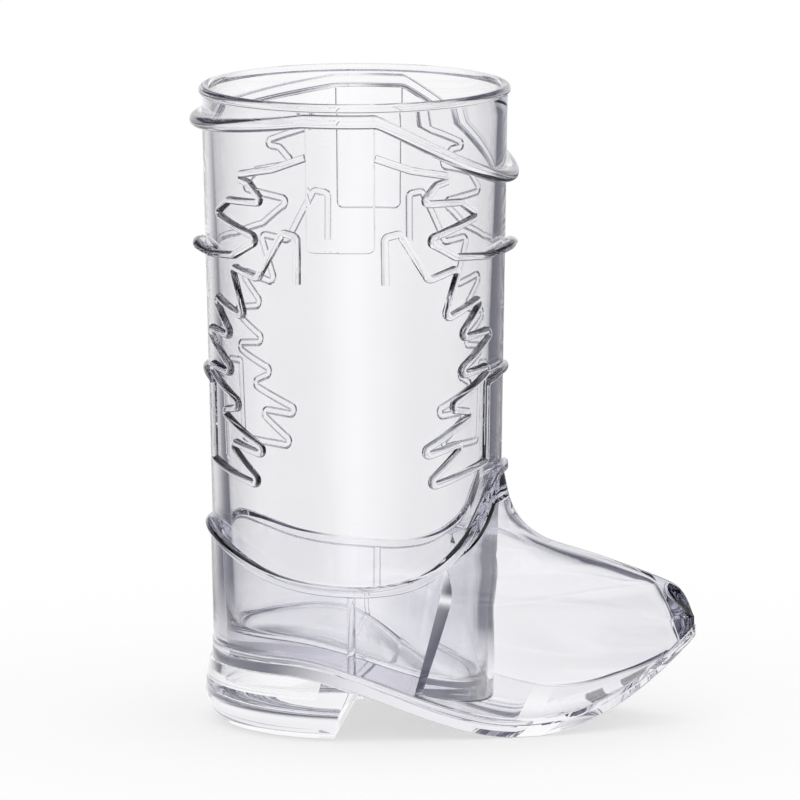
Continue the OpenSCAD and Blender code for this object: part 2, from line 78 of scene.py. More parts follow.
# Camera of the photograph: angles, distance in metres, millimetres of its target, and the picture's scale
VIEW_TURN, VIEW_HEIGHT, VIEW_ROLL = math.radians(5.5), math.radians(9.1), math.radians(-0.25)
VIEW_FAR, VIEW_X, VIEW_Z = 3.5, 10.48, 76.3
PIXELS_PER_MM, PICTURE = 4.216, 800
LIGHT_BOUNCES, MIRROR_BOUNCES = 32, 14

# Floor: metres, and the grey and glow that together come out white in open light
FLOOR_R, FLOOR_STEPS, FLOOR_GREY, FLOOR_GLOW = 4, 96, 0.42, 0.585

# Soft dark cards: their turn, edges in quarter turns, shade at the middle, strength and colour, the share
# that shows without a mirror bounce, and in metres the heights and distances of their fades and their profile
FLAG_STEPS, FLAG_TURN = 128, math.radians(105)
FLAG_EDGES, FLAG_MIDDLE = (0.08, 0.42, 0.67, 1.0), 0.85
FLAG_DARK, FLAG_COLOUR, FLAG_PLAIN = 0.84, (0.02, 0.02, 0.06), 0.08
FLAG_TOP, FLAG_NEAR = (0.06, 0.12), (0.07, 0.16)
FLAG_PROFILE = [(0.055, 0.0003), (0.1, 0.001), (0.2, 0.002), (0.6, 0.002), (0.61, 0.06), (0.61, 0.14)]

# Dark belt of the studio: sines of the elevation where it sets in, on the toe's and on the heel's side, the
# stretch of x over which one runs into the other, its shade, and how it lightens towards the zenith
BELT_TOE, BELT_HEEL, BELT_TURN = (0.23, 0.40), (0.17, 0.25), (-0.1, -0.25)
WHITE, BELT_DARK = (1, 1, 1), (0.07, 0.07, 0.11)
BELT_TOP = [(0.58, (0.13, 0.13, 0.18)), (0.80, (0.9, 0.9, 0.93))]


def length(about, millimetres):
    """A length that a user may change."""
    return bpy.props.FloatProperty(
        description=about, default=millimetres * MM, unit="LENGTH", subtype="DISTANCE", precision=4
    )


def ratio(about, value):
    """A plain number that a user may change."""
    return bpy.props.FloatProperty(description=about, default=value, precision=3)


def shown_name(key):
    """Name of a setting as the panel shows it."""
    words = {"r": "radius", "h": "height", "w": "width", "t": "thickness", "len": "length"}
    return " ".join(words.get(word, word) for word in key.split("_")).capitalize()


class BootCupSettings(bpy.types.PropertyGroup):
    rim_height: length("Height of the rim above the table", 152)
    cup_top_r: length("Outer radius of the cup at the top of its wall", 36.3)
    cup_draft: ratio("Loss of outer radius for each unit down the wall", 0.02)
    cup_wall: length("Wall of the cup at the rim", 2)
    bore_draft: ratio("Loss of inner radius for each unit down the bore", 0.041)
    spigot_wall: length("Wall of the spigot that goes down into the foot", 2.1)
    floor_t: length("Thickness of the cup's sloping floor", 3)
    floor_fillet: length("Radius between the floor and the bore", 2.5)
    lip_out: length("How far the drinking lip stands out from the wall", 0.7)
    lip_h: length("Height of the drinking lip", 2.2)


class BootTrimSettings(bpy.types.PropertyGroup):
    collar_drop: length("Depth of the collar under the rim at the sides", 4.2)
    collar_front_dip: length("How far the collar dips at the front", 17)
    collar_back_dip: length("How far the collar dips at the back", 4)
    collar_w: length("Width of the collar ridge up the wall", 3.4)
    collar_h: length("How far the collar ridge stands out", 3)
    strap_w: length("Width of a pull strap", 16.7)
    strap_len: length("Length of a pull strap under the collar", 29.6)
    strap_t: length("Thickness of a pull strap", 0.9)
    strap_corner_r: length("Radius of a pull strap's lower corners", 1.8)
    fork_drop: length("Depth under the rim of the fork of the flames", 43)
    flame_tip_h: length("Height of the lowest flame tip above the table", 60.5)
    stitch_w: length("Width of a stitch ridge", 1.9)
    stitch_h: length("Height of a stitch ridge", 1.3)
    ring_h: length("Height of the yoke ridge where it rings the front and the back", 3)
    bend_r: length("Radius of the bends in the stitching", 1.1)
    band_w: length("Width of the ankle band", 2.4)
    band_h: length("How far the ankle band stands out", 1.2)
    seam_w: length("Width of a side seam", 2)
    seam_h: length("How far a side seam stands out", 0.9)
    seam_front: length("Distance of the side seams in front of the axis of the cup", 2)


class BootFootSettings(bpy.types.PropertyGroup):
    toe_reach: length("Reach of the toe from the axis of the cup", 80.4)
    toe_tip_h: length("Height of the tip of the toe", 25)
    instep_reach: length("Reach of the bend between the instep and the vamp", 45.2)
    instep_h: length("Height of the bend between the instep and the vamp", 43.2)
    ankle_h: length("Height at which the instep runs into the shaft", 60)
    foot_out: length("How far the foot stands out from the shaft above it", 0.5)
    toe_wall: length("Wall of the hollow toe", 2.4)
    toe_solid: length("Solid length in the tip of the toe", 4)
    socket_wall: length("Wall between the socket and the hollow toe", 1.4)
    hollow_start: length("Distance from the axis at which the toe's hollow begins", 13.2)
    hollow_lean: ratio("Forward lean of the hollow's back end for each unit up", 0.25)
    socket_play: length("Play between the spigot and the socket", 0.15)
    scallop_back_h: length("Height of the scallop at the back", 48.5)
    scallop_side_h: length("Height of the scallop at the sides", 37.1)
    scallop_front_h: length("Height of the scallop at the front", 62)


class BootSoleSettings(bpy.types.PropertyGroup):
    heel_seat_h: length("Height of the welt's top under the heel of the cup", 19.5)
    welt_t: length("Thickness of the welt", 1.5)
    outsole_t: length("Thickness of the outsole under the welt", 2.9)
    outsole_tip_t: length("Thickness of the outsole at the tip of the toe", 1.4)
    welt_out: length("How far the welt stands out from the foot", 0.3)
    arch_back: length("Distance behind the axis at which the arch begins to fall", 14.5)
    ball_reach: length("Reach of the ball, where the sole rests on the table", 42)
    toe_spring: length("Height of the welt's top at the tip of the toe", 23)
    toe_curl: ratio("Power of the curve that turns up the toe", 2.1)
    tread_cut: length("Depth of the flat that is cut into the ball's tread", 0.15)
    heel_swell: length("How far the heel swells past the welt", 1.6)
    heel_base_r: length("Radius of the heel where it meets the table", 30)
    heel_wide_h: length("Height at which the heel is widest", 8)
    breast_back: length("Distance of the heel breast behind the axis, at the table", 2.6)
    breast_lean: ratio("Forward lean of the heel breast for each unit up", 0.25)
    breast_bend: length("Radius of the round bend from the heel breast into the arch", 6)
    heel_wall: length("Wall of the hollow heel round its back and sides", 3.2)
    breast_wall: length("Wall of the hollow heel at its breast", 6)
    heel_floor: length("Floor of the hollow heel above its lift", 7.8)
    lift_t: length("Thickness of the heel lift", 1.4)


class BootFinishSettings(bpy.types.PropertyGroup):
    tint: bpy.props.FloatVectorProperty(
        description="Colour that thick clear plastic takes on", default=(0.50, 0.49, 0.62), subtype="COLOR",
        min=0.0, max=1.0,
    )
    depth: ratio("Absorption of the clear plastic, for each metre", 18.0)
    bend_of_light: ratio("Index of refraction of the clear plastic", 1.49)


SETTINGS = {
    "boot_cup": BootCupSettings,
    "boot_trim": BootTrimSettings,
    "boot_foot": BootFootSettings,
    "boot_sole": BootSoleSettings,
    "boot_finish": BootFinishSettings,
}


def ease(t):
    """Smooth step from 0 to 1."""
    u = np.clip(t, 0.0, 1.0)
    return u * u * (3 - 2 * u)


def through(knots, x):
    """Smooth curve through knots of [position, value]."""
    k = np.asarray(knots, float)
    x = np.asarray(x, float)
    low, high = np.maximum(np.arange(len(k)) - 1, 0), np.minimum(np.arange(len(k)) + 1, len(k) - 1)
    slope = (k[high, 1] - k[low, 1]) / (k[high, 0] - k[low, 0])
    i = np.clip(np.searchsorted(k[:, 0], x, side="right") - 1, 0, len(k) - 2)
    span = k[i + 1, 0] - k[i, 0]
    t = np.clip((x - k[i, 0]) / span, 0, 1)
    s = t * t * (3 - 2 * t)
    turn = slope[i] * (t**3 - 2 * t * t + t) + slope[i + 1] * (t**3 - t * t)
    return k[i, 1] * (1 - s) + k[i + 1, 1] * s + span * turn


class Boot:
    """The mug's sizes in millimetres, and the curves that follow from them."""

    toe_swell, toe_taper, nose_swell, nose_gain = 1.7, 0.75, 1.3, 0.7
    nose_lean, nose_skin = 0.4, 1.0
    blend_w, blend_start, blend_run = 1.6, 8, 18
    ring_half, ring_blend = 30.0, 22.0
    scallop_rise, band_inset = 2.5, 0.12

    def __init__(self):
        scene = bpy.context.scene
        for group in ("boot_cup", "boot_trim", "boot_foot", "boot_sole"):
            settings = getattr(scene, group)
            for key, prop in settings.bl_rna.properties.items():
                if prop.type == "FLOAT":
                    value = getattr(settings, key)
                    setattr(self, key, round(value / MM, 4) if prop.unit == "LENGTH" else round(value, 5))
        back_z = self.rim_height - self.collar_drop - self.collar_back_dip
        self.box_middle = (self.toe_reach + self.welt_out - self.cup_r(back_z) - self.collar_h) / 2
        self.ball_top = self.welt_t + self.outsole_t - self.tread_cut
        self.sole_r = self.foot_r(self.heel_seat_h) + self.welt_out
        self.fork_h = self.rim_height - self.fork_drop
        self.wall_mm = self.cup_r(self.fork_h) * math.pi / 180
        self.strap_top = self.rim_height - self.collar_drop - self.collar_w / 2
        self.band_drop = self.band_w / 2 + self.band_inset
        self.reach_knots = self.make_reach_knots()
        self.scallop_knots = self.make_scallop_knots()

    def cup_r(self, z):
        return self.cup_top_r - self.cup_draft * (self.rim_height - z)

    def slant_at(self, z):
        """Place at which the two slanted ends of the toe's hollow would meet."""
        x = self.hollow_start + self.hollow_lean * z
        return x - math.sqrt((self.spigot_r(z) + self.socket_play + self.socket_wall) ** 2 - x * x)

    def bore_r(self, z):
        return self.cup_top_r - self.cup_wall - self.bore_draft * (self.rim_height - z)

    def spigot_r(self, z):
        return self.bore_r(z) + self.spigot_wall

    def foot_r(self, z):
        return self.cup_r(z) + self.foot_out

    def welt_top(self, x):
        x = np.asarray(x, float)
        fall = ease((x + self.arch_back) / (self.ball_reach + self.arch_back))
        rise = np.maximum((x - self.ball_reach) / (self.toe_reach - self.ball_reach), 0) ** self.toe_curl
        heel_side = self.heel_seat_h + (self.ball_top - self.heel_seat_h) * fall
        toe_side = self.ball_top + (self.toe_spring - self.ball_top) * rise
        return np.where(x < self.ball_reach, heel_side, toe_side)

    def tread(self, x):
        thin = (self.outsole_t - self.outsole_tip_t) * ease(
            (np.asarray(x, float) - self.ball_reach) / (self.toe_reach - self.ball_reach)
        )
        return self.welt_top(x) - self.welt_t - self.outsole_t + thin

    def make_reach_knots(self):
        rise, run = self.instep_h - self.toe_tip_h, self.toe_reach - self.instep_reach
        up, shaft = self.ankle_h - self.instep_h, self.foot_r(self.ankle_h)
        toe = [(0, 1), (0.32, 0.925), (0.47, 0.825), (0.76, 0.405), (1, 0)]
        knots = [[self.toe_tip_h + a * rise, self.instep_reach + b * run] for a, b in toe]
        knots.append([self.instep_h + 0.38 * up, shaft + 0.3 * (self.instep_reach - shaft)])
        return knots + [[self.ankle_h, shaft]]

    def foot_reach(self, z):
        z = np.asarray(z, float)
        reach = np.where(z >= self.ankle_h, self.foot_r(z), through(self.reach_knots, z))
        return np.where(z <= self.toe_tip_h, self.toe_reach, reach)

    def make_scallop_knots(self):
        back, side, front = self.scallop_back_h, self.scallop_side_h, self.scallop_front_h
        behind = [(-0.95, 1), (-0.77, 0.67), (-0.53, 0.29), (-0.27, 0.08), (0, 0)]
        ahead = [(0.22, 0), (0.45, 0.06), (0.63, 0.2), (0.77, 0.42), (0.86, 0.7), (0.95, 1)]
        knots = [[-1.2 * self.cup_top_r, back + self.scallop_rise]]
        knots += [[a * self.cup_top_r, side + b * (back - side)] for a, b in behind]
        knots += [[a * self.cup_top_r, side + b * (front - side)] for a, b in ahead]
        return knots + [[1.2 * self.cup_top_r, front + self.scallop_rise]]

    def scallop(self, x):
        return through(self.scallop_knots, x)

    def plan_half(self, x, reach, r):
        """Half the breadth of the foot at x, for a plan of a given reach and heel radius."""
        x = np.asarray(x, float)
        k = max(reach - r, 0) / (self.toe_reach - r)
        sole_reach = max(reach, self.toe_reach)
        share = np.clip(x / sole_reach, 0, 1)
        full = r * (1 - share**self.toe_swell) ** self.toe_taper
        if k < 1:
            power = self.nose_swell / (1 - k) ** self.nose_gain
            full = full * np.sqrt(np.maximum(1 - np.clip(x / reach, 0, 1) ** power, 0))
        shaft = np.sqrt(np.maximum(r * r - x * x, 0))
        blend = self.blend_w * ease((x - self.blend_start) / self.blend_run) + 1e-9
        near = np.maximum(blend - np.abs(full - shaft), 0) / blend
        return np.maximum(full, shaft) + np.where(x < reach, near * near * blend / 4, 0) * (full > 0.5)

    def plan_ring(self, reach, r, z):
        """Plan of the foot as a ring at one level, from the toe round by +Y to the heel and back by -Y."""
        fx = reach * np.sin(np.linspace(0, math.pi / 2, PLAN_STEPS + 1))
        fy = self.plan_half(fx, reach, r)
        fy[-1] = 0
        a = np.linspace(0, math.pi, PLAN_STEPS + 1)[1:-1]
        x = np.concatenate([fx[::-1], -r * np.sin(a), fx[:-1]])
        y = np.concatenate([fy[::-1], r * np.cos(a), -fy[:-1]])
        return np.column_stack([x, y, np.full(len(x), z)])

    def foot_half(self, x, z):
        r = self.foot_r(z)
        if x <= 0:
            return math.sqrt(max(r * r - x * x, 0))
        return float(self.plan_half(x, float(self.foot_reach(z)), r))

    def wall_point(self, angle, z, out):
        """Point on the cup's wall: angle in degrees from the -Y side towards +X."""
        a = np.radians(angle)
        r = self.cup_r(z) + out
        return np.stack([r * np.sin(a), -r * np.cos(a), z + 0 * r], -1)

    def collar_z(self, angle):
        edge = math.sin(self.strap_w / 2 / self.cup_top_r)
        lean = np.sin(np.radians(angle))
        past = np.maximum(np.abs(lean) - edge, 0) / (1 - edge)
        dip = np.where(lean > 0, self.collar_front_dip * past**1.1, self.collar_back_dip * past)
        return self.rim_height - self.collar_drop - dip

    def place_h(self, s):
        if s < 1:
            return self.rim_height - s * self.fork_drop
        return self.fork_h - (s - 1) * (self.fork_h - self.flame_tip_h)

    def heel_r(self, z):
        z = np.asarray(z, float)
        wide = self.sole_r + self.heel_swell
        low = np.sqrt(np.maximum(1 - (1 - np.minimum(z / self.heel_wide_h, 1)) ** 2, 0))
        top = ease((z - self.heel_wide_h) / (self.heel_seat_h - self.heel_wide_h))
        return np.where(z < self.heel_wide_h, self.heel_base_r + (wide - self.heel_base_r) * low,
                        wide - self.heel_swell * top)


def unit(v):
    return v / np.maximum(np.linalg.norm(v, axis=-1, keepdims=True), 1e-12)


def rounded_route(points, radius, keep=0.8, step=math.radians(15)):
    """Flat route with rounded corners; each corner is pushed out so that its bend still reaches the tip."""
    p = np.asarray(points, float)
    out = [p[0]]
    for a, b, c in zip(p[:-2], p[1:-1], p[2:]):
        u, v = unit(a - b), unit(c - b)
        turn = math.acos(float(np.clip(-u @ v, -1, 1)))
        if turn < math.radians(5):
            out.append(b)
            continue
        inward = unit(u + v)
        half = turn / 2
        tip = b - inward * keep * radius * (1 / math.cos(half) - 1)
        along = min(radius * math.tan(half), 0.48 * np.linalg.norm(tip - a), 0.48 * np.linalg.norm(c - tip))
        r = along / math.tan(half)
        middle = tip + inward * r / math.cos(half)
        start = tip + unit(a - tip) * along - middle
        side = 1 if u[0] * v[1] - u[1] * v[0] > 0 else -1
        n = max(3, math.ceil(turn / step))
        for i in range(n + 1):
            t = -side * turn * i / n
            ct, st = math.cos(t), math.sin(t)
            out.append(middle + np.array([start[0] * ct - start[1] * st, start[0] * st + start[1] * ct]))
    out.append(p[-1])
    return np.array(out)


def fine_route(p, step):
    """Route with no gap longer than step."""
    out = []
    for a, b in zip(p[:-1], p[1:]):
        n = max(1, math.ceil(np.linalg.norm(b - a) / step))
        out.extend(a + (b - a) * i / n for i in range(n))
    return np.array(out + [p[-1]])


def mesh_object(name, points, faces):
    """Object with a mesh in millimetres about the axis of the cup."""
    mesh = bpy.data.meshes.new(name)
    mesh.from_pydata([tuple(map(float, p)) for p in points], [], [tuple(map(int, f)) for f in faces])
    mesh.validate()
    piece = bpy.data.objects.new(name, mesh)
    bpy.context.scene.collection.objects.link(piece)
    return piece


def face_outwards(piece):
    """Turns the faces of a closed mesh outwards."""
    bm = bmesh.new()
    bm.from_mesh(piece.data)
    bmesh.ops.recalc_face_normals(bm, faces=bm.faces[:])
    bm.to_mesh(piece.data)
    bm.free()
    return piece


def around(steps):
    """Equal angles once round."""
    return np.arange(steps) * 2 * math.pi / steps


def strips(m, n, first=0, loop=False):
    """Faces between m rings of n points each; a loop joins the last ring to the first."""
    faces = []
    for k in range(m if loop else m - 1):
        low, high = first + k * n, first + (k + 1) % m * n
        faces.extend((low + i, low + (i + 1) % n, high + (i + 1) % n, high + i) for i in range(n))
    return faces


def loft(name, rings, loop=False):
    """Closed skin through rings of equal length."""
    rings = np.asarray(rings, float)
    m, n = rings.shape[:2]
    faces = strips(m, n, loop=loop)
    if not loop:
        faces.append(tuple(range(n - 1, -1, -1)))
        faces.append(tuple((m - 1) * n + i for i in range(n)))
    return face_outwards(mesh_object(name, rings.reshape(-1, 3), faces))


def turned(name, profile, steps=TURN_STEPS):
    """Solid of revolution; the profile of (radius, height) starts and ends on the axis."""
    a = around(steps)
    rows = [np.stack([r * np.sin(a), -r * np.cos(a), 0 * a + z], 1) for r, z in profile[1:-1]]
    return capped(name, rows, (0, 0, profile[0][1]), (0, 0, profile[-1][1]))


def capped(name, rows, first, last):
    """Closed skin through rows of points, ending in two poles."""
    rows = np.asarray(rows, float)
    m, n = rows.shape[:2]
    points = np.concatenate([[first], rows.reshape(-1, 3), [last]])
    top = 1 + (m - 1) * n
    faces = [(0, 1 + (i + 1) % n, 1 + i) for i in range(n)] + strips(m, n, first=1)
    faces.extend((top + i, top + (i + 1) % n, m * n + 1) for i in range(n))
    return face_outwards(mesh_object(name, points, faces))


def across(name, outline):
    """Side profile of (x, z), run right across the mug."""
    return loft(name, [[(x, side * CUT_DEEP, z) for x, z in outline] for side in (-1, 1)])


def combine(body, tool, how):
    """Joins a tool to a body, or cuts it out, and removes the tool."""
    modifier = body.modifiers.new("combine", "BOOLEAN")
    modifier.operation, modifier.solver, modifier.object = how, "MANIFOLD", tool
    bpy.context.view_layer.update()
    graph = bpy.context.evaluated_depsgraph_get()
    mesh = bpy.data.meshes.new_from_object(body.evaluated_get(graph))
    if not mesh.polygons:
        raise RuntimeError(f"{how} of {body.name} and {tool.name} left nothing")
    body.modifiers.clear()
    old, body.data = body.data, mesh
    mesh.name = body.name
    bpy.data.meshes.remove(old)
    old = tool.data
    bpy.data.objects.remove(tool)
    bpy.data.meshes.remove(old)
    return body


def join(body, *tools):
    for tool in tools:
        combine(body, tool, "UNION")
    return body


def cut(body, *tools):
    for tool in tools:
        combine(body, tool, "DIFFERENCE")
    return body


def keep(body, tool):
    return combine(body, tool, "INTERSECT")


def ridge_section(width, height, square=2.3, steps=10):
    """Section of a raised ridge: places across it and heights above the wall."""
    a = np.linspace(0, math.pi, steps + 1)
    wide = np.sign(np.cos(a)) * np.abs(np.cos(a)) ** (2 / square)
    over = np.stack([wide * width / 2, height * np.maximum(np.sin(a), 0) ** (2 / square)], 1)
    return np.concatenate([[[width / 2, -SINK]], over, [[-width / 2, -SINK]]])


def wall_ridge(boot, name, quarter, ring_h, side):
    """Stitch ridge on the cup: a quarter route, mirrored to the far side of the front or the back."""
    flat = [(a * boot.wall_mm, boot.place_h(s)) for a, s in quarter]
    route = fine_route(rounded_route(flat, boot.bend_r), 0.7)
    mirrored = np.stack([180 * boot.wall_mm - route[-2::-1, 0], route[-2::-1, 1]], 1)
    route = np.concatenate([route, mirrored])
    along = np.empty_like(route)
    along[1:-1], along[0], along[-1] = route[2:] - route[:-2], route[1] - route[0], route[-1] - route[-2]
    along = unit(along)
    beside = np.stack([-along[:, 1], along[:, 0]], 1)
    degrees = route[:, 0] / boot.wall_mm
    rise = ease((boot.ring_half - np.abs(90 - degrees)) / boot.ring_blend)
    heights = boot.stitch_h + (ring_h - boot.stitch_h) * rise
    rings = []
    for p, s, h in zip(route, beside, heights):
        section = ridge_section(boot.stitch_w, h)
        flat = p + s * section[:, :1]
        ring = boot.wall_point(flat[:, 0] / boot.wall_mm, flat[:, 1], section[:, 1])
        rings.append(ring * [side, 1, 1])
    return loft(name, rings)


def collar_ring(boot):
    """Rolled collar under the rim."""
    rings = []
    for angle in np.arange(0, 360, 1.25):
        z = float(boot.collar_z(angle))
        section = ridge_section(boot.collar_w, boot.collar_h, steps=14)
        rings.append(boot.wall_point(angle, z + section[:, 0], section[:, 1]))
    return loft("collar_ring", rings, loop=True)


def strap_patch(boot, side):
    """Pull strap: a flat tab on the wall with soft edges and round lower corners."""
    half, corner, soft = boot.strap_w / 2, boot.strap_corner_r, 0.8
    top, low = boot.strap_top + 0.8, boot.strap_top - boot.strap_len
    edge = soft * (1 - np.cos(np.linspace(0, math.pi / 2, 9)))
    u = np.concatenate([-half + edge, np.linspace(-half + soft, half - soft, 27)[1:-1], half - edge[::-1]])
    past = np.maximum(np.abs(u) - (half - corner), 0)
    foot = low + corner - np.sqrt(np.maximum(corner**2 - past**2, 0))
    v = np.concatenate([edge, np.linspace(soft, top - low, 25)[1:]])
    place = np.stack(np.meshgrid(u, v, indexing="ij"), -1)
    z = foot[:, None] + place[..., 1] * ((top - foot) / (top - low))[:, None]
    inside = np.minimum(half - np.abs(place[..., 0]), z - foot[:, None])
    swell = np.sqrt(np.maximum(1 - (1 - np.clip(inside / soft, 0, 1)) ** 2, 0))
    height = boot.strap_t * (0.05 + 0.95 * swell)
    angle = np.degrees(place[..., 0] / boot.cup_top_r)
    upper = boot.wall_point(angle, z, height)
    lower = boot.wall_point(angle, z, 0 * height - SINK)
    m, n = z.shape
    points = np.concatenate([upper.reshape(-1, 3), lower.reshape(-1, 3)]) * [1, side, 1]
    deep = m * n
    faces = []
    for i in range(m - 1):
        for j in range(n - 1):
            a, b, c, d = i * n + j, (i + 1) * n + j, (i + 1) * n + j + 1, i * n + j + 1
            faces += [(a, b, c, d), (deep + a, deep + d, deep + c, deep + b)]
    rim = [i * n for i in range(m)] + [(m - 1) * n + j for j in range(1, n)]
    rim += [i * n + n - 1 for i in range(m - 2, -1, -1)] + [j for j in range(n - 2, 0, -1)]
    faces += [(a, deep + a, deep + b, b) for a, b in zip(rim, rim[1:] + rim[:1])]
    return face_outwards(mesh_object("strap_patch", points, faces))


def cup_shell(boot):
    """The tumbler: sloping floor, spigot, ledge on the foot, outer wall, lip and bore."""
    a = around(TURN_STEPS)
    sx, cy = np.sin(a), -np.cos(a)

    def row(r, z):
        return np.stack([r * sx, r * cy, z + 0 * sx], 1)

    def settle(radius_at, height_at, rounds=12):
        """Where a turned wall meets a surface whose height depends on x."""
        z = np.full_like(a, 30.0)
        for _ in range(rounds):
            z = height_at(radius_at(z) * sx)
        return z

    under = settle(boot.spigot_r, boot.welt_top) + AIR_GAP
    ledge_in = settle(boot.spigot_r, boot.scallop)
    ledge_out = settle(boot.cup_r, boot.scallop)
    floor = settle(boot.bore_r, lambda x: boot.welt_top(x) + boot.floor_t)
    rows = []

    def climb(radius_at, start, end, shares):
        """Rows up or down a turned wall."""
        for share in shares:
            z = start + (end - start) * share
            rows.append(row(radius_at(z), z))

    def spread(edge, lift, shares):
        """Rows across a floor that lies over the welt."""
        for share in shares:
            r = share * edge
            rows.append(row(r, boot.welt_top(r * sx) + lift))

    spread(boot.spigot_r(under), AIR_GAP, np.linspace(0, 1, 25)[1:-1])
    climb(boot.spigot_r, under, ledge_in, np.linspace(0, 1, 13))
    rows.append(row(boot.cup_r(ledge_out), ledge_out))
    wall_top = boot.rim_height - boot.lip_h
    climb(boot.cup_r, ledge_out, wall_top, np.linspace(0, 1, 33)[1:])
    wall_r, lip_r, inner = boot.cup_r(wall_top), boot.cup_top_r + boot.lip_out, boot.bore_r(boot.rim_height)
    for t in np.linspace(0, 1, 7)[1:]:
        rows.append(row(wall_r + (lip_r - wall_r) * ease(t), wall_top + 0.3 * boot.lip_h * t))
    middle, reach, round_r = (lip_r + inner) / 2, (lip_r - inner) / 2, 0.45 * (lip_r - inner)
    for t in np.linspace(0, math.pi, 15)[1:-1]:
        rows.append(row(middle + reach * math.cos(t), boot.rim_height - round_r * (1 - math.sin(t))))
    fillet, corner = boot.floor_fillet, boot.bore_r(floor)
    climb(boot.bore_r, boot.rim_height - round_r, floor + fillet, np.linspace(0, 1, 29))
    for t in np.linspace(0, math.pi / 2, 7)[1:]:
        r = corner - fillet * (1 - math.cos(t))
        lift = fillet * (1 - math.sin(t))
        rows.append(row(r, boot.welt_top(r * sx) + boot.floor_t + lift))
    spread(corner - fillet, boot.floor_t, np.linspace(1, 0, 25)[1:-1])
    low = float(boot.welt_top(0.0))
    return capped("cup_clear", rows, (0, 0, low + AIR_GAP), (0, 0, low + boot.floor_t))


def welt_block(boot):
    """Everything under the welt's top, as a cutter."""
    x = np.linspace(-60, boot.toe_reach + 12, 180)
    line = list(zip(x, boot.welt_top(x) + AIR_GAP))
    return across("welt_block", line + [(x[-1], -60), (x[0], -60)])


def foot_skin(boot):
    """Outer form of the foot before it is trimmed."""
    low = np.linspace(0, boot.toe_tip_h, 12)
    vamp = boot.toe_tip_h + (boot.instep_h - boot.toe_tip_h) * np.linspace(0, 1, 60)[1:]
    ankle = np.linspace(boot.instep_h, boot.ankle_h, 28)[1:]
    levels = np.concatenate([low, vamp, ankle, [boot.ankle_h + 6, boot.ankle_h + 14]])
    return loft("foot_clear", [boot.plan_ring(float(boot.foot_reach(z)), boot.foot_r(z), z) for z in levels])


def toe_hollow(boot):
    """Closed hollow in the toe, ahead of the socket."""
    low = np.linspace(-4, boot.toe_tip_h - boot.toe_wall, 10)
    high = np.linspace(boot.toe_tip_h - boot.toe_wall, boot.instep_h + 4 * boot.toe_wall, 46)[1:]
    rings = []
    for z in np.concatenate([low, high]):
        nose = boot.toe_reach - boot.toe_solid - boot.nose_lean * max(z - 0.7 * boot.toe_tip_h, 0)
        reach = min(float(boot.foot_reach(z + boot.toe_wall)) - boot.nose_skin, nose)
        rings.append(boot.plan_ring(reach, boot.foot_r(z) - boot.toe_wall, z))
    hollow = loft("toe_hollow", rings)
    cut(hollow, socket_cone(boot, boot.socket_wall))
    lean = (boot.slant_at(boot.instep_h) - boot.slant_at(0)) / boot.instep_h
    for side in (-1, 1):
        rings = []
        for z in (-0.1 * CUT_DEEP, CUT_DEEP):
            start, out = boot.slant_at(0) + lean * z, side * CUT_DEEP
            rings.append([(-CUT_DEEP, 0, z), (start, 0, z), (start + CUT_DEEP, out, z), (-CUT_DEEP, out, z)])
        cut(hollow, loft("slanted_end", rings))
    return hollow


def socket_cone(boot, out=0.0):
    """The socket for the spigot as a cutter, grown by a wall."""
    grow = boot.spigot_wall + boot.socket_play + out
    zs = np.linspace(-10, 120, 40)
    profile = [(0, zs[0])] + [(boot.bore_r(z) + grow, z) for z in zs] + [(0, zs[-1])]
    return turned("socket_cone", profile, SOCKET_STEPS)


def ankle_ridge(boot):
    """Ankle band, which follows the foot's skin under its scalloped edge."""
    steps = 90
    half = []
    for i in range(steps + 1):
        x = -boot.foot_r(boot.scallop_side_h) * math.cos(math.pi * i / steps)
        if i == 0:
            z = boot.scallop_back_h - boot.band_drop
            half.append((-boot.foot_r(z), 0, z))
        elif i == steps:
            z = boot.scallop_front_h - boot.band_drop
            half.append((float(boot.foot_reach(z)), 0, z))
        else:
            z = float(boot.scallop(x)) - boot.band_drop
            half.append((x, -boot.foot_half(x, z), z))
    half = np.array(half)
    route = np.concatenate([half, half[-2:0:-1] * [1, -1, 1]])
    along = unit(np.roll(route, -1, 0) - np.roll(route, 1, 0))
    front = (boot.cup_top_r / boot.instep_reach) ** 2
    out = unit(np.where(route[:, :1] > 0, route * [front, 1, 0], route * [1, 1, 0]))
    level = unit(out - along * np.sum(out * along, 1, keepdims=True))
    beside = np.cross(level, along)
    section = ridge_section(boot.band_w, boot.band_h)
    rings = [p + s * section[:, :1] + n * section[:, 1:] for p, s, n in zip(route, beside, level)]
    return loft("ankle_ridge", rings, loop=True)


def seam_ridge(boot, side):
    """Short upright seam on a side of the foot."""
    top = boot.scallop_side_h - boot.band_drop - boot.band_w / 2
    section = ridge_section(boot.seam_w, boot.seam_h)
    rings = []
    for z in np.linspace(5, top, 24):
        x = boot.seam_front + section[:, 0]
        y = np.array([boot.foot_half(float(v), z) for v in x]) + section[:, 1]
        rings.append(np.column_stack([x, side * y, np.full(len(x), z)]))
    return loft("seam_ridge", rings)


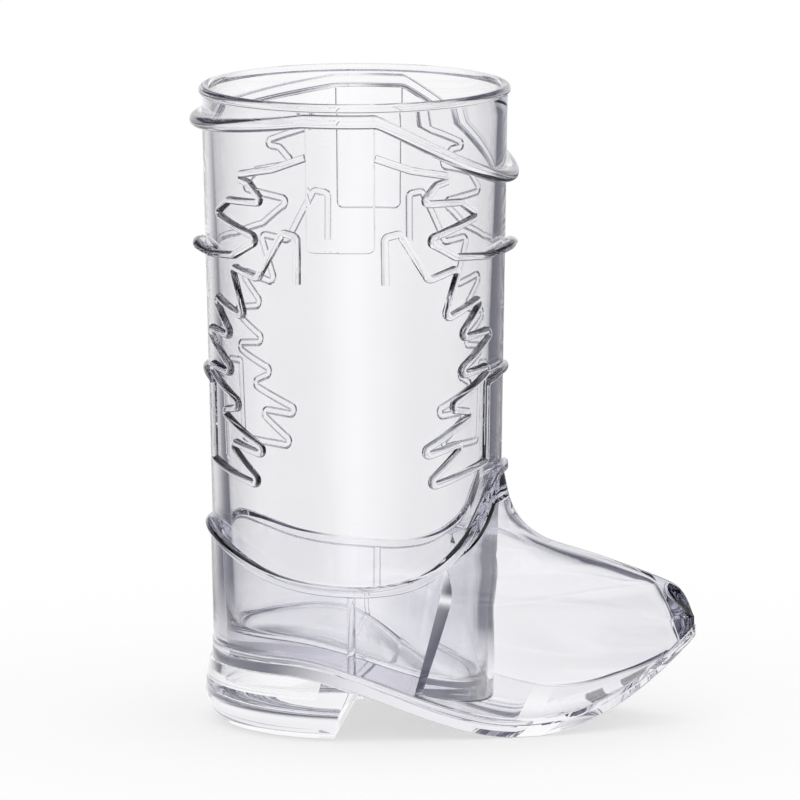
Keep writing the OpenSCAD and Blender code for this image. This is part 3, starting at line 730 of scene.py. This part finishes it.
def sole_layers(boot):
    """Welt and outsole with a fine groove between them, drawn as sections across the sole."""
    reach, r = boot.toe_reach + boot.welt_out, boot.sole_r
    groove, soft = 0.3, 0.35
    turn = np.linspace(0, math.pi / 2, 5)
    back = -r * np.cos(np.linspace(0.02, math.pi / 2, 70))
    front = reach * np.sin(np.linspace(0, math.pi / 2 - 0.02, 150))[1:]
    rings = []
    for x in np.concatenate([back, front]):
        wide = math.sqrt(r * r - x * x) if x < 0 else float(boot.plan_half(x, reach, r))
        top, under = float(boot.welt_top(x)), max(float(boot.tread(x)), 0.0)
        seam = top - boot.welt_t
        edge = [(soft * (1 - math.sin(t)), top - soft * (1 - math.cos(t))) for t in turn]
        edge += [(0, seam + 0.25), (groove, seam), (0, seam - 0.25)]
        edge += [(soft * (1 - math.cos(t)), under + soft * (1 - math.sin(t))) for t in turn]
        side = [(max(wide - inset, 0.01), z) for inset, z in edge]
        rings.append([(x, y, z) for y, z in side] + [(x, -y, z) for y, z in side[::-1]])
    return loft("sole_clear", rings)


def breast_line(boot, inset):
    """Side profile of all that lies behind the breast."""
    foot, lean = -boot.breast_back - inset, boot.breast_lean
    return [(-120, -30), (foot - 30 * lean, -30), (foot + 40 * lean, 40), (-120, 40)]


def bent_breast(boot):
    """Side profile of the heel: its breast runs through a round bend into the arch."""
    lean, bend = boot.breast_lean, boot.breast_bend
    slant = math.hypot(1, lean)
    arch = np.linspace(-boot.breast_back, boot.ball_reach, 900)
    low, high = -bend, boot.heel_seat_h
    for _ in range(30):
        z = (low + high) / 2
        x = -boot.breast_back + lean * z + bend * slant
        away = np.hypot(x - arch, z - boot.tread(arch))
        low, high = (z, high) if away.min() > bend else (low, z)
    touch = arch[away.argmin()]
    start, end = math.atan2(lean, -1), math.atan2(float(boot.tread(touch)) - z, touch - x)
    arc = [(x + bend * math.cos(t), z + bend * math.sin(t)) for t in np.linspace(start, end, 24)]
    foot = -boot.breast_back
    return [(-120, -30), (foot - 30 * lean, -30)] + arc + [(touch + 0.01, 40), (-120, 40)]


def heel_block(boot):
    """Hollow heel with its lift."""
    lift, groove = boot.lift_t, 0.25
    low = np.concatenate([np.linspace(0, 1, 5) ** 2 * (lift - 0.25), [lift]])
    zs = np.concatenate([low, [lift + 0.25], np.linspace(lift + 0.6, boot.heel_seat_h, 34)])
    rs = boot.heel_r(zs)
    rs[len(low) - 1] -= groove
    body = turned("heel_clear", [(0, 0)] + list(zip(rs, zs)) + [(0, boot.heel_seat_h)])
    keep(body, across("bent_breast", bent_breast(boot)))
    x = np.linspace(-60, boot.toe_reach, 160)
    over = list(zip(x, boot.tread(x) - AIR_GAP)) + [(x[-1], 60), (x[0], 60)]
    cut(body, across("over_heel", over))
    base, soft = lift + boot.heel_floor, 2.0
    turn = np.linspace(0, math.pi / 2, 8)
    wall = boot.heel_r(base + soft) - boot.heel_wall
    bend = [(wall - soft * (1 - math.sin(t)), base + soft * (1 - math.cos(t))) for t in turn]
    side = [(float(boot.heel_r(z)) - boot.heel_wall, z) for z in np.linspace(base + soft, 24, 14)[1:]]
    hollow = turned("heel_hollow", [(0, base)] + bend + side + [(0, 24)])
    keep(hollow, across("behind_breast", breast_line(boot, boot.breast_wall)))
    return cut(body, hollow)


def smooth_shade(piece):
    """Smooth shading with crisp edges where faces meet at a clear angle."""
    bm = bmesh.new()
    bm.from_mesh(piece.data)
    bmesh.ops.remove_doubles(bm, verts=bm.verts[:], dist=1e-4)
    bmesh.ops.dissolve_degenerate(bm, edges=bm.edges[:], dist=1e-4)
    for face in bm.faces:
        face.smooth = True
    for edge in bm.edges:
        edge.smooth = len(edge.link_faces) == 2 and edge.calc_face_angle(0.0) < SHARP_ANGLE
    bm.to_mesh(piece.data)
    bm.free()


def true_normals(boot, piece):
    """Gives the cup's outer wall and floors the normals of their curves, so that cut faces refract as one."""
    near_wall, near_floor, same_way = 0.02, 0.005, 0.97
    mesh = piece.data
    normals, points = np.empty(len(mesh.loops) * 3), np.empty(len(mesh.vertices) * 3)
    corner = np.empty(len(mesh.loops), int)
    mesh.corner_normals.foreach_get("vector", normals)
    mesh.vertices.foreach_get("co", points)
    mesh.loops.foreach_get("vertex_index", corner)
    normals, points = normals.reshape(-1, 3), points.reshape(-1, 3)
    x, y, z = points.T
    radius = np.hypot(x, y)
    cone = unit(np.column_stack([x, y, -boot.cup_draft * radius]))
    fall = (boot.welt_top(x + 0.01) - boot.welt_top(x - 0.01)) / 0.02
    level = unit(np.column_stack([-fall, 0 * x, 0 * x + 1]))
    surfaces = (
        (np.abs(radius - boot.cup_r(z)) < near_wall, cone),
        (np.abs(z - boot.welt_top(x) - boot.floor_t) < near_floor, level),
        (np.abs(z - boot.welt_top(x) - AIR_GAP) < near_floor, -level),
    )
    for face in mesh.polygons:
        loops = slice(face.loop_start, face.loop_start + face.loop_total)
        verts = corner[loops]
        for on_it, true in surfaces:
            if on_it[verts].all() and np.dot(true[verts[0]], face.normal) > same_way:
                normals[loops] = true[verts]
    mesh.normals_split_custom_set([tuple(n) for n in normals])


def math_node(tree, operation, *values):
    """Maths on sockets and plain numbers."""
    node = tree.nodes.new("ShaderNodeMath")
    node.operation = operation
    for socket, value in zip(node.inputs, values):
        if isinstance(value, (int, float)):
            socket.default_value = value
        else:
            tree.links.new(value, socket)
    return node.outputs[0]


def map_range(tree, value, old, new=(0.0, 1.0)):
    """A value carried from one range into another."""
    node = tree.nodes.new("ShaderNodeMapRange")
    for label, number in zip(("From Min", "From Max", "To Min", "To Max"), (*old, *new)):
        node.inputs[label].default_value = number
    tree.links.new(value, node.inputs["Value"])
    return node.outputs["Result"]


def soft_ramp(tree, value, marks):
    """Colours that run softly into each other along a value; marks are (position, colour)."""
    ramp = tree.nodes.new("ShaderNodeValToRGB")
    ramp.color_ramp.interpolation = "EASE"
    tree.links.new(value, ramp.inputs["Fac"])
    elements = ramp.color_ramp.elements
    for i, (position, colour) in enumerate(marks):
        element = elements[i] if i < 2 else elements.new(position)
        element.position, element.color = position, (*colour, 1)
    return ramp.outputs["Color"]


def coordinates(tree, kind):
    """X, Y and Z of a texture coordinate."""
    place, split = tree.nodes.new("ShaderNodeTexCoord"), tree.nodes.new("ShaderNodeSeparateXYZ")
    tree.links.new(place.outputs[kind], split.inputs["Vector"])
    return split.outputs[:]


def mix_shaders(tree, share, first, second, out):
    """Runs one shader into another and on to the output's surface."""
    mix = tree.nodes.new("ShaderNodeMixShader")
    for socket, end in zip(mix.inputs, (share, first, second)):
        tree.links.new(end, socket)
    tree.links.new(mix.outputs[0], out.inputs["Surface"])


def moulding_group():
    """Faint marks of moulding: a slow ripple, fine haze and a hint of colour that drifts."""
    name = "Moulding marks"
    if name in bpy.data.node_groups:
        return bpy.data.node_groups[name]
    group = bpy.data.node_groups.new(name, "ShaderNodeTree")
    for label, way, kind in (
        ("Deep", "INPUT", "Color"), ("Colour", "OUTPUT", "Color"),
        ("Roughness", "OUTPUT", "Float"), ("Height", "OUTPUT", "Float"),
    ):
        group.interface.new_socket(label, in_out=way, socket_type="NodeSocket" + kind)
    nodes, links = group.nodes, group.links
    given, made, place = map(nodes.new, ("NodeGroupInput", "NodeGroupOutput", "ShaderNodeTexCoord"))

    def noise(scale, detail):
        node = nodes.new("ShaderNodeTexNoise")
        node.inputs["Scale"].default_value, node.inputs["Detail"].default_value = scale, detail
        links.new(place.outputs["Object"], node.inputs["Vector"])
        return node.outputs["Fac"]

    ripple, haze = noise(*RIPPLE), noise(*HAZE)
    drift = nodes.new("ShaderNodeMix")
    drift.data_type = "RGBA"
    drift.inputs["A"].default_value = (*WHITE, 1)
    links.new(ripple, drift.inputs["Factor"])
    links.new(given.outputs["Deep"], drift.inputs["B"])
    links.new(drift.outputs["Result"], made.inputs["Colour"])
    links.new(map_range(group, haze, HAZE_RANGE, ROUGHNESS), made.inputs["Roughness"])
    links.new(ripple, made.inputs["Height"])
    return group


def clear_plastic(name, deep, ripple, depth):
    """Clear polished plastic with faint moulding marks and a tint that grows with thickness."""
    finish = bpy.context.scene.boot_finish
    material = bpy.data.materials.new(name)
    material.use_nodes = True
    nodes, links = material.node_tree.nodes, material.node_tree.links
    shader, out = nodes["Principled BSDF"], nodes["Material Output"]
    marks = nodes.new("ShaderNodeGroup")
    marks.node_tree = moulding_group()
    marks.inputs["Deep"].default_value = (*deep, 1)
    bump = nodes.new("ShaderNodeBump")
    bump.inputs["Strength"].default_value = ripple
    bump.inputs["Distance"].default_value = RIPPLE_DEEP
    links.new(marks.outputs["Height"], bump.inputs["Height"])
    links.new(bump.outputs["Normal"], shader.inputs["Normal"])
    links.new(marks.outputs["Colour"], shader.inputs["Base Color"])
    links.new(marks.outputs["Roughness"], shader.inputs["Roughness"])
    shader.inputs["Transmission Weight"].default_value = 1.0
    shader.inputs["IOR"].default_value = finish.bend_of_light
    soak = nodes.new("ShaderNodeVolumeAbsorption")
    soak.inputs["Color"].default_value = (*finish.tint, 1)
    soak.inputs["Density"].default_value = finish.depth * depth
    links.new(soak.outputs["Volume"], out.inputs["Volume"])
    return material


def hand_over(boot, piece, slot, material, *nodes):
    """Moves a shaded piece from millimetres about the cup's axis into the frame, in place of its solids."""
    piece.data.transform(Matrix.Translation((-boot.box_middle * MM, 0, 0)) @ Matrix.Scale(MM, 4))
    piece.data.update()
    piece.data.materials.clear()
    piece.data.materials.append(material)
    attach(piece, "root")
    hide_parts(*nodes)


class BOOTMUG_OT_cup(bpy.types.Operator):
    """Build the cup with its collar, pull straps and stitching"""

    bl_idname = "bootmug.cup"
    bl_label = "Cup"

    def execute(self, context):
        boot = Boot()
        cup = cup_shell(boot)
        join(cup, collar_ring(boot), strap_patch(boot, 1), strap_patch(boot, -1))
        for side in (1, -1):
            join(cup, wall_ridge(boot, "yoke_ridge", YOKE_QUARTER, boot.ring_h, side))
            join(cup, wall_ridge(boot, "flame_ridge", FLAME_QUARTER, boot.stitch_h, side))
        smooth_shade(cup)
        true_normals(boot, cup)
        material = clear_plastic("clear_cup", (0.98, 0.98, 0.99), 0.03, 0.6)
        hand_over(
            boot, cup, "clear_body", material, "cup", "collar", "pull_strap_near", "pull_strap_far",
            "yoke_stitch_front", "yoke_stitch_back", "flame_stitch_front", "flame_stitch_back",
        )
        return {"FINISHED"}


class BOOTMUG_OT_foot(bpy.types.Operator):
    """Build the hollow foot with its ankle band and side seams"""

    bl_idname = "bootmug.foot"
    bl_label = "Foot"

    def execute(self, context):
        boot = Boot()
        foot = foot_skin(boot)
        x = np.linspace(-1.2 * boot.cup_top_r, 1.2 * boot.cup_top_r, 140)
        line = list(zip(x, boot.scallop(x) - AIR_GAP))
        far = boot.toe_reach + 40
        top = float(line[-1][1])
        cut(foot, across("over_scallop", [(-90, line[0][1])] + line + [(far, top), (far, 200), (-90, 200)]))
        join(foot, ankle_ridge(boot), seam_ridge(boot, -1), seam_ridge(boot, 1))
        cut(foot, socket_cone(boot), toe_hollow(boot), welt_block(boot))
        smooth_shade(foot)
        material = clear_plastic("clear_foot", (0.97, 0.97, 0.99), 0.04, 1.0)
        nodes = "foot_shell", "ankle_band", "side_seam_near", "side_seam_far"
        hand_over(boot, foot, "clear_foot", material, *nodes)
        return {"FINISHED"}


class BOOTMUG_OT_sole(bpy.types.Operator):
    """Build the welt and the outsole"""

    bl_idname = "bootmug.sole"
    bl_label = "Sole"

    def execute(self, context):
        boot = Boot()
        sole = sole_layers(boot)
        smooth_shade(sole)
        material = clear_plastic("clear_sole", (0.97, 0.97, 0.99), 0.04, 0.25)
        hand_over(boot, sole, "clear_sole", material, "welt", "outsole")
        return {"FINISHED"}


class BOOTMUG_OT_heel(bpy.types.Operator):
    """Build the hollow heel with its lift"""

    bl_idname = "bootmug.heel"
    bl_label = "Heel"

    def execute(self, context):
        boot = Boot()
        heel = heel_block(boot)
        smooth_shade(heel)
        material = clear_plastic("clear_heel", (0.96, 0.96, 0.98), 0.04, 0.15)
        hand_over(boot, heel, "clear_sole", material, "heel", "heel_lift")
        return {"FINISHED"}


class BOOTMUG_OT_stage(bpy.types.Operator):
    """Set up the white floor, the dark cards, the world light and the camera"""

    bl_idname = "bootmug.stage"
    bl_label = "Stage"

    def execute(self, context):
        scene = context.scene
        scene.view_settings.view_transform = "Standard"
        scene.cycles.max_bounces = scene.cycles.transmission_bounces = LIGHT_BOUNCES
        scene.cycles.glossy_bounces = MIRROR_BOUNCES
        boot = Boot()
        white_floor()
        soft_flags(boot)
        studio_world(scene)
        photo_camera(scene, boot)
        return {"FINISHED"}


def seen_through(tree):
    """Mask of the rays that have met the clear plastic."""
    path = tree.nodes.new("ShaderNodeLightPath")
    return math_node(tree, "MAXIMUM", path.outputs["Is Glossy Ray"], path.outputs["Is Transmission Ray"])


def white_floor():
    """Pale floor: white in open light, with a faint shadow, and plain white seen through the plastic."""
    points = [(FLOOR_R * math.cos(t), FLOOR_R * math.sin(t), 0) for t in around(FLOOR_STEPS)]
    floor = mesh_object("floor", points, [tuple(range(FLOOR_STEPS))])
    material = bpy.data.materials.new("pale_floor")
    material.use_nodes = True
    tree = material.node_tree
    shader, out = tree.nodes["Principled BSDF"], tree.nodes["Material Output"]
    shader.inputs["Base Color"].default_value = (FLOOR_GREY, FLOOR_GREY, FLOOR_GREY, 1)
    shader.inputs["Roughness"].default_value = 1.0
    shader.inputs["Specular IOR Level"].default_value = 0.0
    shader.inputs["Emission Color"].default_value = (*WHITE, 1)
    shader.inputs["Emission Strength"].default_value = FLOOR_GLOW
    plain = tree.nodes.new("ShaderNodeEmission")
    mix_shaders(tree, seen_through(tree), shader.outputs[0], plain.outputs[0], out)
    floor.data.materials.append(material)


def soft_flags(boot):
    """Dark cards round the mug, soft at their edges, which only the clear plastic shows, as dark lines."""
    points = [(r * math.cos(t), r * math.sin(t), z) for r, z in FLAG_PROFILE for t in around(FLAG_STEPS)]
    flags = mesh_object("soft_flags", points, strips(len(FLAG_PROFILE), FLAG_STEPS))
    flags.location.x = -boot.box_middle * MM
    flags.visible_camera = flags.visible_diffuse = flags.visible_shadow = False
    material = bpy.data.materials.new("soft_flag")
    material.use_nodes = True
    tree = material.node_tree
    tree.nodes.clear()
    x, y, z = coordinates(tree, "Object")
    quarter = math.pi / 2
    turned_by = math_node(tree, "SUBTRACT", math_node(tree, "ARCTAN2", y, x), FLAG_TURN)
    aside = math_node(tree, "DIVIDE", math_node(tree, "PINGPONG", turned_by, quarter), quarter)
    shades = [(0, 0, 0), WHITE, WHITE, (FLAG_MIDDLE, FLAG_MIDDLE, FLAG_MIDDLE)]
    mask = soft_ramp(tree, aside, zip(FLAG_EDGES, shades))
    away = math_node(tree, "SQRT", math_node(tree, "MULTIPLY_ADD", y, y, math_node(tree, "MULTIPLY", x, x)))
    path = tree.nodes.new("ShaderNodeLightPath")
    mirrored = math_node(tree, "MINIMUM", path.outputs["Glossy Depth"], 1.0)
    shown = math_node(tree, "MULTIPLY_ADD", mirrored, 1 - FLAG_PLAIN, FLAG_PLAIN)
    for share in (map_range(tree, z, FLAG_TOP, (FLAG_DARK, 0.0)), map_range(tree, away, FLAG_NEAR), shown):
        mask = math_node(tree, "MULTIPLY", mask, share)
    clear, card = tree.nodes.new("ShaderNodeBsdfTransparent"), tree.nodes.new("ShaderNodeEmission")
    card.inputs["Color"].default_value = (*FLAG_COLOUR, 1)
    out = tree.nodes.new("ShaderNodeOutputMaterial")
    mix_shaders(tree, mask, clear.outputs[0], card.outputs[0], out)
    flags.data.materials.append(material)


def studio_world(scene):
    """Plain white studio; only the clear plastic shows its dark belt, which is lower on the heel's side."""
    world = bpy.data.worlds.new("white_studio")
    scene.world = world
    world.use_nodes = True
    tree = world.node_tree
    tree.nodes.clear()
    x, _, z = coordinates(tree, "Generated")
    belts = tree.nodes.new("ShaderNodeMix")
    belts.data_type = "RGBA"
    tree.links.new(map_range(tree, x, BELT_TURN), belts.inputs["Factor"])
    for label, (start, full) in (("A", BELT_TOE), ("B", BELT_HEEL)):
        belt = soft_ramp(tree, z, [(start, WHITE), (full, BELT_DARK), *BELT_TOP])
        tree.links.new(belt, belts.inputs[label])
    plain, studio = tree.nodes.new("ShaderNodeBackground"), tree.nodes.new("ShaderNodeBackground")
    plain.inputs["Color"].default_value = (*WHITE, 1)
    tree.links.new(belts.outputs["Result"], studio.inputs["Color"])
    out = tree.nodes.new("ShaderNodeOutputWorld")
    mix_shaders(tree, seen_through(tree), plain.outputs[0], studio.outputs[0], out)


def photo_camera(scene, boot):
    """Camera at the photograph's angle: a long lens from the side of the boot, slightly above it."""
    target = Vector(((VIEW_X - boot.box_middle) * MM, 0, VIEW_Z * MM))
    level = math.cos(VIEW_HEIGHT)
    back = Vector((math.sin(VIEW_TURN) * level, -math.cos(VIEW_TURN) * level, math.sin(VIEW_HEIGHT)))
    camera = bpy.data.cameras.new("photo_camera")
    camera.sensor_width = 36
    camera.lens = PIXELS_PER_MM * VIEW_FAR / MM / PICTURE * camera.sensor_width
    camera.clip_end = 50
    eye = bpy.data.objects.new("photo_camera", camera)
    scene.collection.objects.link(eye)
    look = (-back).to_track_quat("-Z", "Y").to_matrix().to_4x4() @ Matrix.Rotation(VIEW_ROLL, 4, "Z")
    eye.matrix_world = Matrix.Translation(target + back * VIEW_FAR) @ look
    scene.camera = eye


class BOOTMUG_PT_panel(bpy.types.Panel):
    """Sizes and steps of the boot mug"""

    bl_idname = "BOOTMUG_PT_panel"
    bl_label = "Boot mug"
    bl_space_type = "VIEW_3D"
    bl_region_type = "UI"
    bl_category = "Boot mug"

    def draw(self, context):
        for operator in OPERATORS:
            self.layout.operator(operator.bl_idname)
        for group, settings in SETTINGS.items():
            box = self.layout.box()
            for key in settings.__annotations__:
                box.prop(getattr(context.scene, group), key, text=shown_name(key))


OPERATORS = (BOOTMUG_OT_stage, BOOTMUG_OT_cup, BOOTMUG_OT_foot, BOOTMUG_OT_sole, BOOTMUG_OT_heel)
CLASSES = (*SETTINGS.values(), *OPERATORS, BOOTMUG_PT_panel)


def register():
    for item in CLASSES:
        bpy.utils.register_class(item)
    for group, settings in SETTINGS.items():
        setattr(bpy.types.Scene, group, bpy.props.PointerProperty(type=settings))


def unregister():
    for group in SETTINGS:
        delattr(bpy.types.Scene, group)
    for item in reversed(CLASSES):
        bpy.utils.unregister_class(item)


def main():
    register()
    bpy.ops.bootmug.stage()
    bpy.ops.bootmug.cup()
    bpy.ops.bootmug.foot()
    bpy.ops.bootmug.sole()
    bpy.ops.bootmug.heel()
    bpy.context.view_layer.update()


if __name__ == "__main__":
    main()
